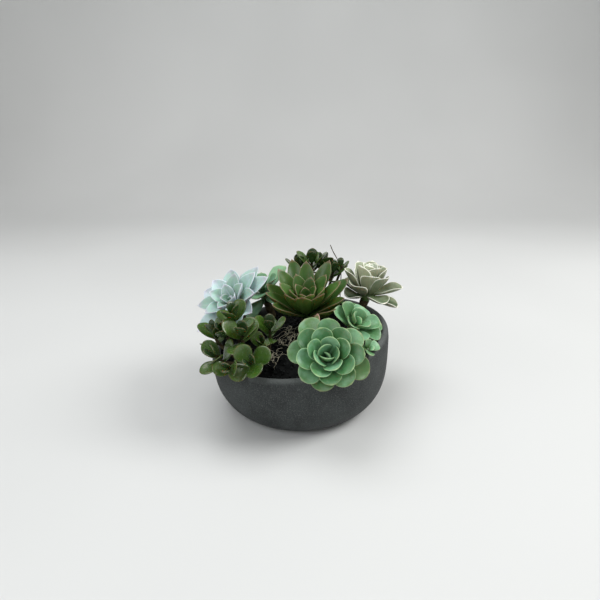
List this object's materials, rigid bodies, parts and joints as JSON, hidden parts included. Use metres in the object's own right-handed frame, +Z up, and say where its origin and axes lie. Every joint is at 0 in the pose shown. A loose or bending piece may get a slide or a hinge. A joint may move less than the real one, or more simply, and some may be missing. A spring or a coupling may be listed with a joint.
{
  "type": "potted succulent arrangement",
  "caption": "Wide round stone bowl planted with fleshy leaf rosettes and small jade bushes in dark soil, standing free on its flat foot.",
  "frame": {"origin": "centre of the bowl's flat foot, on the surface it stands on", "axes": "+Z up along the bowl's axis; the big rosette that hangs over the rim faces -Y; the sage rosette is at the back right, toward +X and +Y"},
  "size_m": [0.2949, 0.2819, 0.2084],
  "materials": {
    "stone": "matte charcoal stone with a fine speckle",
    "soil": "damp black gravelly soil",
    "silver_leaf": "waxy pale mint leaves with lighter margins",
    "green_leaf": "smooth mid-green leaves with thin brownish-pink margins",
    "round_leaf": "smooth fresh green spoon leaves with pale margins",
    "light_leaf": "smooth light green leaves",
    "sage_leaf": "dusty sage leaves with cream margins",
    "bud_leaf": "small green leaves flushed pink at the edge",
    "jade_leaf": "thick dark green leaves with a soft gloss",
    "twig": "dry brown twig"
  },
  "bodies": {
    "root": {"pot": "stone", "soil": "soil", "silver_rosette": "silver_leaf", "green_rosette": "green_leaf", "front_rosette": "round_leaf", "right_rosette": "light_leaf", "sage_rosette": "sage_leaf", "back_rosette": "light_leaf", "offset_rosette": "light_leaf", "pink_bud": "bud_leaf", "jade_front": "jade_leaf", "jade_middle": "jade_leaf", "jade_back": "jade_leaf", "twig": "twig"}
  },
  "joints": []
}
